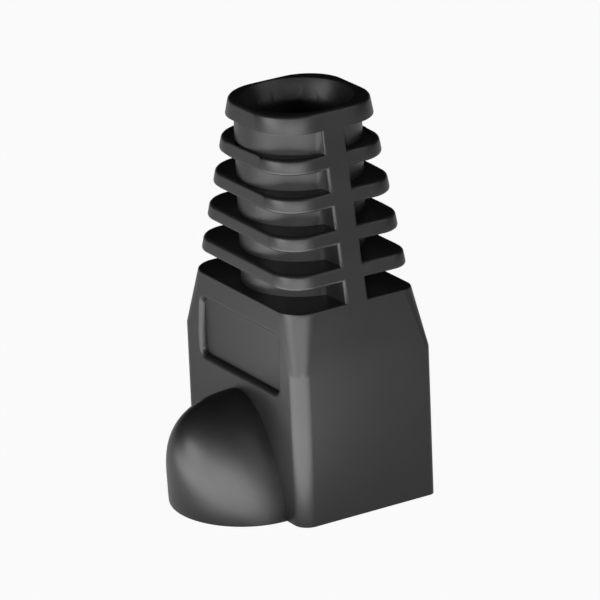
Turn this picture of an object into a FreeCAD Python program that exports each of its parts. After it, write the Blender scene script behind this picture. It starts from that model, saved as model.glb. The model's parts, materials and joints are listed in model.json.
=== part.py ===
# RJ45 strain relief boot, moulded in one piece.
# It slips over the back of an 8-way modular plug and grips the cable behind it.
# Millimetres. +Z runs up the cable. The boot is drawn round the cable's axis, standing on its plug mouth,
# and moved at the end so that the origin lies in the mouth's plane under the middle of the whole boot.
# -Y is the latch side, and X runs across the width of the plug.

import math
import os

import FreeCAD
import Part

# Plug pocket: the hollow that takes the back of the plug.
plug_width = 11.68
plug_clearance = 0.11
pocket_back = 3.87
pocket_front = -4.10
pocket_depth = 8.0
wall = 1.05

# Body round the pocket, from the mouth up to the knee where the sides start to lean in.
knee_height = 10.1
body_front_radius = 1.0
body_back_radius = 0.45

# Shoulder, the flat top of the body where the ringed tail begins.
shoulder_height = 14.0
shoulder_half_width = 6.26
shoulder_front = -4.89
shoulder_back = 4.50
shoulder_front_radius = 1.80
shoulder_back_radius = 1.1

# Tail: flat rings on a round tube, with a straight web on each side.
ring_count = 4
ring_pitch = 2.35
ring_thickness = 1.0
rim_gap = 1.45
rim_thickness = 1.2
rim_half_width = 3.95
rim_front = -3.98
rim_back = 4.16
rim_front_radius = 2.95
rim_back_radius = 2.75
tube_radius = 4.05
web_thickness = 1.65

# Cable bore, with a lead-in below and a flared mouth on top.
bore_radius = 3.0
lead_in_radius = 3.7
lead_in_depth = 0.8
flare_radius = 3.60
flare_depth = 1.6

# Latch hood: a hollow dome on the front that covers the plug's latch.
hood_height = 7.4
hood_half_width = 5.08
hood_reach = 4.8
hood_lean = 0.11
hood_round_start = 3.0
hood_fullness = 2.6
hood_arch_drop = 3.0
hood_wall = 1.0
hood_steps = 9

# Label panel: a shallow recess in the front wall above the hood.
panel_half_width = 4.60
panel_bottom = 8.45
panel_top = 12.25
panel_depth = 0.45
panel_corner_radius = 0.45

body_half_width = plug_width / 2 + plug_clearance + wall
body_front = pocket_front - wall
body_back = pocket_back + wall
rim_bottom = shoulder_height + ring_count * ring_pitch + rim_gap
total_height = rim_bottom + rim_thickness


def outline(half_width, front, back, front_radius, back_radius, z):
    """Closed rounded rectangle at height z, with its own corner radii at the front and the back."""
    edges = []
    corners = [
        (half_width, front, front_radius, -1, 270),
        (half_width, back, back_radius, 1, 0),
        (-half_width, back, back_radius, 1, 90),
        (-half_width, front, front_radius, -1, 180),
    ]
    ends = []
    for x, y, radius, side, start in corners:
        centre_x = x - math.copysign(radius, x)
        centre_y = y - side * radius
        centre = FreeCAD.Vector(centre_x, centre_y, z)
        arc = Part.makeCircle(radius, centre, FreeCAD.Vector(0, 0, 1), start, start + 90)
        ends.append((arc, arc.valueAt(arc.FirstParameter), arc.valueAt(arc.LastParameter)))
    for index, (arc, first, last) in enumerate(ends):
        edges.append(arc)
        edges.append(Part.makeLine(last, ends[(index + 1) % 4][1]))
    return Part.Wire(edges)


def blend(low, high, share):
    """Value a given share of the way from low to high."""
    return low + (high - low) * share


def tail_outline(z):
    """Outline of the leaning sides at height z, from the knee up to the rim."""
    knee = (body_half_width, body_front, body_back, body_front_radius, body_back_radius)
    shoulder = (
        shoulder_half_width, shoulder_front, shoulder_back, shoulder_front_radius, shoulder_back_radius
    )
    rim = (rim_half_width, rim_front, rim_back, rim_front_radius, rim_back_radius)
    if z > shoulder_height:
        low, high = shoulder, rim
        share = (z - shoulder_height) / (total_height - shoulder_height)
    else:
        low, high = knee, shoulder
        share = (z - knee_height) / (shoulder_height - knee_height)
    return outline(*[blend(first, last, share) for first, last in zip(low, high)], z)


def tail_slab(bottom, top):
    """Solid between two heights that fills the leaning outline."""
    return Part.makeLoft([tail_outline(bottom), tail_outline(top)], True, True)


def hood_profiles(shrink, back_plane):
    """Level sections of the hood, shrunk by a wall, from the mouth plane to just under its top."""
    height = hood_height - shrink
    profiles = []
    for step in range(hood_steps):
        z = height * math.sin(math.pi / 2 * step / hood_steps)
        arch = (z + hood_arch_drop) / (height + hood_arch_drop)
        foot = hood_arch_drop / (height + hood_arch_drop)
        width = (hood_half_width - shrink) * math.sqrt((1 - arch ** 2) / (1 - foot ** 2))
        reach = hood_reach - shrink + hood_lean * min(z, hood_round_start)
        if z > hood_round_start:
            rise = (z - hood_round_start) / (height - hood_round_start)
            reach = reach * (1 - rise ** hood_fullness) ** (1 / hood_fullness)
        reach = reach + back_plane - body_front
        profiles.append(hood_section(width, reach, back_plane, z))
    return profiles


def hood_section(width, reach, back_plane, z):
    """Half ellipse that reaches forward from back_plane, closed by a straight line along it."""
    arc = Part.makeCircle(1, FreeCAD.Vector(), FreeCAD.Vector(0, 0, 1), 180, 360)
    stretch = FreeCAD.Matrix()
    stretch.scale(width, reach, 1)
    arc = arc.transformGeometry(stretch)
    arc.translate(FreeCAD.Vector(0, back_plane, z))
    left = FreeCAD.Vector(-width, back_plane, z)
    right = FreeCAD.Vector(width, back_plane, z)
    return Part.Wire([arc, Part.makeLine(right, left)])


# Body: straight up to the knee, then leaning in to the shoulder.
foot_outline = outline(body_half_width, body_front, body_back, body_front_radius, body_back_radius, 0)
body = Part.Face(foot_outline).extrude(FreeCAD.Vector(0, 0, knee_height))
body = body.fuse(tail_slab(knee_height, shoulder_height))

# Tail: a leaning block with a gap cut under each ring, down to the tube and clear of the webs.
tail_height = total_height - shoulder_height
tail = tail_slab(shoulder_height, total_height)
tube = Part.makeCylinder(tube_radius, tail_height, FreeCAD.Vector(0, 0, shoulder_height))
web_corner = FreeCAD.Vector(-body_half_width, -web_thickness / 2, shoulder_height)
web_plate = Part.makeBox(2 * body_half_width, web_thickness, tail_height, web_corner)
gap_levels = []
for number in range(ring_count):
    floor = shoulder_height + number * ring_pitch
    gap_levels.append((floor, floor + ring_pitch - ring_thickness))
gap_levels.append((rim_bottom - rim_gap, rim_bottom))
for floor, ceiling in gap_levels:
    corner = FreeCAD.Vector(-body_half_width, body_front, floor)
    gap = Part.makeBox(2 * body_half_width, body_back - body_front, ceiling - floor, corner)
    tail = tail.cut(gap.cut(tube.fuse(web_plate)))
boot = body.fuse(tail).removeSplitter()
hood_tip = Part.Vertex(FreeCAD.Vector(0, body_front, hood_height))
boot = boot.fuse(Part.makeLoft(hood_profiles(0, body_front) + [hood_tip], True))

# Label panel: a flat recess in the front wall.
panel_half_height = (panel_top - panel_bottom) / 2
panel_outline = outline(
    panel_half_width, -panel_half_height, panel_half_height, panel_corner_radius, panel_corner_radius, 0
)
panel = Part.Face(panel_outline).extrude(FreeCAD.Vector(0, 0, panel_depth + wall))
panel.rotate(FreeCAD.Vector(), FreeCAD.Vector(1, 0, 0), 90)
panel.translate(FreeCAD.Vector(0, body_front + panel_depth, (panel_top + panel_bottom) / 2))
boot = boot.cut(panel)

# Pockets: the plug's, open at the mouth, and the latch's inside the hood, joined along the front wall.
# The latch's pocket has a small flat roof.
pocket_half_width = body_half_width - wall
pocket_corner = FreeCAD.Vector(-pocket_half_width, pocket_front, 0)
pocket = Part.makeBox(2 * pocket_half_width, pocket_back - pocket_front, pocket_depth, pocket_corner)
latch_pocket = Part.makeLoft(hood_profiles(hood_wall, pocket_front), True)
boot = boot.cut(pocket.fuse(latch_pocket))

# Cable bore: a short lead-in out of the pocket, the straight bore and the flared mouth on the rim.
up = FreeCAD.Vector(0, 0, 1)
bore = Part.makeCylinder(bore_radius, total_height, FreeCAD.Vector())
lead_in = Part.makeCone(
    lead_in_radius, bore_radius, lead_in_depth, FreeCAD.Vector(0, 0, pocket_depth), up
)
flare_start = total_height - flare_depth
flare = Part.makeCone(bore_radius, flare_radius, flare_depth, FreeCAD.Vector(0, 0, flare_start), up)
boot = boot.cut(bore.fuse(lead_in).fuse(flare))

# Origin: half-way between the back wall and the front of the hood.
hood_front = body_front - hood_reach - hood_lean * hood_round_start
boot.translate(FreeCAD.Vector(0, -(body_back + hood_front) / 2, 0))

os.makedirs("parts", exist_ok=True)
boot.exportStep("parts/boot.step")
print("valid", boot.isValid(), "solids", len(boot.Solids), "volume", round(boot.Volume, 1))
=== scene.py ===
import json
import math
import bmesh
import bpy
from mathutils import Matrix, Vector


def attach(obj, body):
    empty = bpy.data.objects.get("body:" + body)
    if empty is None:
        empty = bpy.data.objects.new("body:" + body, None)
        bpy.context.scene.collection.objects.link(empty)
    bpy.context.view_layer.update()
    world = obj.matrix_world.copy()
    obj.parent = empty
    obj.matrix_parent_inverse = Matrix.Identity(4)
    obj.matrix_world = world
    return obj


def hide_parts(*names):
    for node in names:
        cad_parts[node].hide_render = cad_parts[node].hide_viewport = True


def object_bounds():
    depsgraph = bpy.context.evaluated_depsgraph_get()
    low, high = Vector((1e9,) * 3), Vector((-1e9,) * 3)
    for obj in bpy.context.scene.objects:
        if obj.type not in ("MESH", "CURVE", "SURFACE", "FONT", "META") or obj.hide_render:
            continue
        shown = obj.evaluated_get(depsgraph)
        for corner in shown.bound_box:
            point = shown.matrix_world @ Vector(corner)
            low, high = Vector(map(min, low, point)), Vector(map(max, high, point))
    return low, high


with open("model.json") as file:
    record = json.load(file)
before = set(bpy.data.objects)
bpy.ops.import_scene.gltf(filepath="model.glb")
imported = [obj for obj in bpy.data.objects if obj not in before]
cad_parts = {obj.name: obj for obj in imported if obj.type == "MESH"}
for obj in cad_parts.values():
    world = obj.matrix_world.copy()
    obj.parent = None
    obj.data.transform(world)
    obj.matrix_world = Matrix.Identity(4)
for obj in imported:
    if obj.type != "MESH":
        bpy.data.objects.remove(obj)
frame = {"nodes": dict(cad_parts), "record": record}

cad_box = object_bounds()

# ---- Boot -------------------------------------------------------------------------------
# One soft PVC moulding: plug body, latch hood, label panel, ringed tail and webs. The mould gives
# each outward edge a small radius, widest round the label panel and least at the mouth, the bore,
# the rim's underside, the shoulder and narrow ledges. Inward corners are crisp.
panel_radius = 0.00036
mould_radius = 0.00022
mouth_radius = 0.00006
bore_radius = 0.00007
rim_underside_radius = 0.00007
shoulder_radius = 0.0001
least_radius = 0.00001
ledge_share = 0.5
tube_radius = 0.00405
bore_edge_radius = 0.0037
shoulder_height = 0.014
panel_half_width = 0.0047
panel_bottom = 0.0084
panel_top = 0.0123
panel_front = -0.0022
rim_underside = 0.02485
edge_reach = 0.0001
merge_distance = 1e-6
radius_steps = 4
flat_fold = math.radians(0.6)
outward_fold = math.radians(35)
smooth_fold = math.radians(32)

solid = frame["nodes"]["boot"]
bpy.ops.object.select_all(action="DESELECT")
skin = solid.copy()
skin.data = solid.data.copy()
skin.name = "moulded_boot"
bpy.context.scene.collection.objects.link(skin)
bpy.context.view_layer.objects.active = skin
skin.select_set(True)
bpy.ops.object.mode_set(mode="EDIT")
bpy.ops.mesh.select_all(action="SELECT")
bpy.ops.mesh.remove_doubles(threshold=merge_distance)
bpy.ops.mesh.dissolve_limited(angle_limit=flat_fold)
bpy.ops.object.mode_set(mode="OBJECT")

mounts = {mount["name"]: mount["pos_m"] for mount in frame["record"]["mounts"]}
axis_y = mounts["cable_bore"][1]
top_height = cad_box[1][2]

# Each outward edge keeps its share of the widest radius, by its place on the boot.
moulding = bmesh.new()
moulding.from_mesh(skin.data)
radius_share = moulding.edges.layers.float.new("bevel_weight_edge")
for edge in moulding.edges:
    if not edge.is_manifold or edge.calc_face_angle_signed() < outward_fold:
        continue
    middle = (edge.verts[0].co + edge.verts[1].co) / 2
    from_axis = math.hypot(middle.x, middle.y - axis_y)
    on_panel = panel_bottom < middle.z < panel_top and abs(middle.x) < panel_half_width
    radius = mould_radius
    if middle.z < edge_reach:
        radius = mouth_radius
    elif on_panel and middle.y < panel_front:
        radius = panel_radius
    elif abs(middle.z - shoulder_height) < edge_reach:
        radius = shoulder_radius
    elif middle.z > top_height - edge_reach and from_axis < bore_edge_radius:
        radius = bore_radius
    elif abs(middle.z - rim_underside) < edge_reach:
        radius = rim_underside_radius
    elif shoulder_height < middle.z < top_height - edge_reach:
        ledge = ledge_share * (from_axis - tube_radius)
        radius = min(mould_radius, max(least_radius, ledge))
    edge[radius_share] = radius / panel_radius
moulding.to_mesh(skin.data)
moulding.free()

rounding = skin.modifiers.new("mould_radius", "BEVEL")
rounding.limit_method = "WEIGHT"
rounding.width = panel_radius
rounding.segments = radius_steps
rounding.use_clamp_overlap = False
rounding.loop_slide = False
bpy.ops.object.modifier_apply(modifier="mould_radius")
bpy.ops.object.shade_smooth_by_angle(angle=smooth_fold)
shading = skin.modifiers.new("even_shading", "WEIGHTED_NORMAL")
shading.keep_sharp = True
bpy.ops.object.modifier_apply(modifier="even_shading")
skin.select_set(False)

# Black PVC with a satin, spark-eroded mould finish: a fine grain, and a gloss that drifts a little.
pvc = bpy.data.materials.new("black_pvc")
pvc.use_nodes = True
nodes = pvc.node_tree.nodes
links = pvc.node_tree.links
shader = nodes["Principled BSDF"]
shader.inputs["IOR"].default_value = 1.5
place = nodes.new("ShaderNodeTexCoord")

drift = nodes.new("ShaderNodeTexNoise")
drift.inputs["Scale"].default_value = 400
drift.inputs["Detail"].default_value = 4
links.new(place.outputs["Object"], drift.inputs["Vector"])
gloss = nodes.new("ShaderNodeMapRange")
gloss.inputs["From Min"].default_value = 0.3
gloss.inputs["From Max"].default_value = 0.7
gloss.inputs["To Min"].default_value = 0.38
gloss.inputs["To Max"].default_value = 0.44
links.new(drift.outputs["Fac"], gloss.inputs["Value"])
links.new(gloss.outputs["Result"], shader.inputs["Roughness"])
shade = nodes.new("ShaderNodeMix")
shade.data_type = "RGBA"
shade.inputs["A"].default_value = (0.005, 0.005, 0.005, 1)
shade.inputs["B"].default_value = (0.008, 0.008, 0.008, 1)
links.new(drift.outputs["Fac"], shade.inputs["Factor"])
links.new(shade.outputs["Result"], shader.inputs["Base Color"])

grain = nodes.new("ShaderNodeTexNoise")
grain.inputs["Scale"].default_value = 9000
grain.inputs["Detail"].default_value = 3
links.new(place.outputs["Object"], grain.inputs["Vector"])
bump = nodes.new("ShaderNodeBump")
bump.inputs["Strength"].default_value = 0.12
bump.inputs["Distance"].default_value = 0.00002
links.new(grain.outputs["Fac"], bump.inputs["Height"])
links.new(bump.outputs["Normal"], shader.inputs["Normal"])

skin.data.materials.clear()
skin.data.materials.append(pvc)
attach(skin, "root")
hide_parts("boot")

# ---- Floor ------------------------------------------------------------------------------
# A wide, plain, matt floor that the boot stands on. It glows for the lens and in reflections,
# so it is pale and even there, and what isn't glow takes the boot's shadow.
floor_size = 6
seen_glow = 0.94
reflected_glow = 0.55

bpy.ops.mesh.primitive_plane_add(size=floor_size, location=(0, 0, 0))
floor = bpy.context.object
floor.name = "floor"
floor_paint = bpy.data.materials.new("pale_floor")
floor_paint.use_nodes = True
nodes = floor_paint.node_tree.nodes
links = floor_paint.node_tree.links
matt = nodes["Principled BSDF"]
matt.inputs["Base Color"].default_value = (0.9, 0.9, 0.9, 1)
matt.inputs["Roughness"].default_value = 0.9
matt.inputs["Specular IOR Level"].default_value = 0.0
glow = nodes.new("ShaderNodeEmission")
glow.inputs["Color"].default_value = (1, 1, 1, 1)
glow.inputs["Strength"].default_value = 1.0
rays = nodes.new("ShaderNodeLightPath")
reflected = nodes.new("ShaderNodeMath")
reflected.operation = "MAXIMUM"
links.new(rays.outputs["Is Glossy Ray"], reflected.inputs[0])
links.new(rays.outputs["Is Transmission Ray"], reflected.inputs[1])
reflected_share = nodes.new("ShaderNodeMath")
reflected_share.operation = "MULTIPLY"
reflected_share.inputs[1].default_value = reflected_glow
links.new(reflected.outputs[0], reflected_share.inputs[0])
seen_share = nodes.new("ShaderNodeMath")
seen_share.operation = "MULTIPLY"
seen_share.inputs[1].default_value = seen_glow
links.new(rays.outputs["Is Camera Ray"], seen_share.inputs[0])
share = nodes.new("ShaderNodeMath")
share.operation = "MAXIMUM"
links.new(seen_share.outputs[0], share.inputs[0])
links.new(reflected_share.outputs[0], share.inputs[1])
blend = nodes.new("ShaderNodeMixShader")
links.new(share.outputs[0], blend.inputs["Fac"])
links.new(matt.outputs[0], blend.inputs[1])
links.new(glow.outputs[0], blend.inputs[2])
links.new(blend.outputs[0], nodes["Material Output"].inputs["Surface"])
floor.data.materials.append(floor_paint)

# ---- Light ------------------------------------------------------------------------------
# Soft studio light: a low softbox in front of the latch side, a low one by the right side, a weak
# fill higher up at the back right, and a small light that lies on the floor, facing up.
lit_middle = Vector((0, 0, 0.012))
floor_light_width = 0.08
floor_light_near = 0.0093
floor_light_far = 0.060
floor_light_turn = math.radians(35)
floor_light_height = 0.0003
floor_light_power = 0.062
room_glow = 0.01


def outward(azimuth, elevation):
    """Unit vector away from the boot, turned from the latch side to the right, and raised."""
    turn = math.radians(azimuth)
    lift = math.radians(elevation)
    return Vector((math.sin(turn) * math.cos(lift), -math.cos(turn) * math.cos(lift), math.sin(lift)))


def softbox(name, azimuth, elevation, distance, width, height, power):
    """Area lamp that stands off from the boot and faces its middle."""
    offset = outward(azimuth, elevation)
    lamp = bpy.data.lights.new(name, "AREA")
    lamp.shape = "RECTANGLE"
    lamp.size = width
    lamp.size_y = height
    lamp.energy = power
    holder = bpy.data.objects.new(name, lamp)
    holder.location = lit_middle + offset * distance
    holder.rotation_euler = offset.to_track_quat("Z", "Y").to_euler()
    bpy.context.scene.collection.objects.link(holder)


softbox("front_softbox", azimuth=6, elevation=11, distance=0.5, width=0.36, height=0.18, power=1.6)
softbox("side_softbox", azimuth=60, elevation=7, distance=0.5, width=0.56, height=0.12, power=1.9)
softbox("fill_softbox", azimuth=122, elevation=30, distance=0.6, width=0.5, height=0.35, power=0.8)

floor_lamp = bpy.data.lights.new("floor_panel", "AREA")
floor_lamp.shape = "RECTANGLE"
floor_lamp.size = floor_light_width
floor_lamp.size_y = floor_light_far - floor_light_near
floor_lamp.energy = floor_light_power
floor_light = bpy.data.objects.new("floor_panel", floor_lamp)
floor_light_reach = (floor_light_near + floor_light_far) / 2
floor_light.location = (
    math.sin(floor_light_turn) * floor_light_reach,
    -math.cos(floor_light_turn) * floor_light_reach,
    floor_light_height,
)
floor_light.rotation_euler = (math.pi, 0, floor_light_turn)
floor_light.visible_camera = False
bpy.context.scene.collection.objects.link(floor_light)

world = bpy.data.worlds.new("studio")
bpy.context.scene.world = world
world.use_nodes = True
room = world.node_tree.nodes["Background"]
room.inputs["Color"].default_value = (1, 1, 1, 1)
room.inputs["Strength"].default_value = room_glow

# ---- Camera -----------------------------------------------------------------------------
# A long lens, a little above the boot and to the right of its latch side, leaning slightly.
# It aims near the cable's axis, at about half of the boot's height.
camera_azimuth = 58.6
camera_elevation = 20.2
camera_lean = 2.4
camera_distance = 0.348
camera_lens = 327.7
aim_left = 0.00018
aim_forward = 0.00029
aim_height = 0.0123

aim = Vector((mounts["cable_bore"][0] - aim_left, axis_y - aim_forward, aim_height))
back = outward(camera_azimuth, camera_elevation)
camera_data = bpy.data.cameras.new("camera")
camera_data.sensor_width = 36
camera_data.lens = camera_lens
camera_data.clip_start = 0.01
camera = bpy.data.objects.new("camera", camera_data)
camera.matrix_world = (
    Matrix.Translation(aim + back * camera_distance)
    @ back.to_track_quat("Z", "Y").to_matrix().to_4x4()
    @ Matrix.Rotation(math.radians(-camera_lean), 4, "Z")
)
bpy.context.scene.collection.objects.link(camera)
bpy.context.scene.camera = camera
bpy.context.scene.view_settings.view_transform = "Standard"
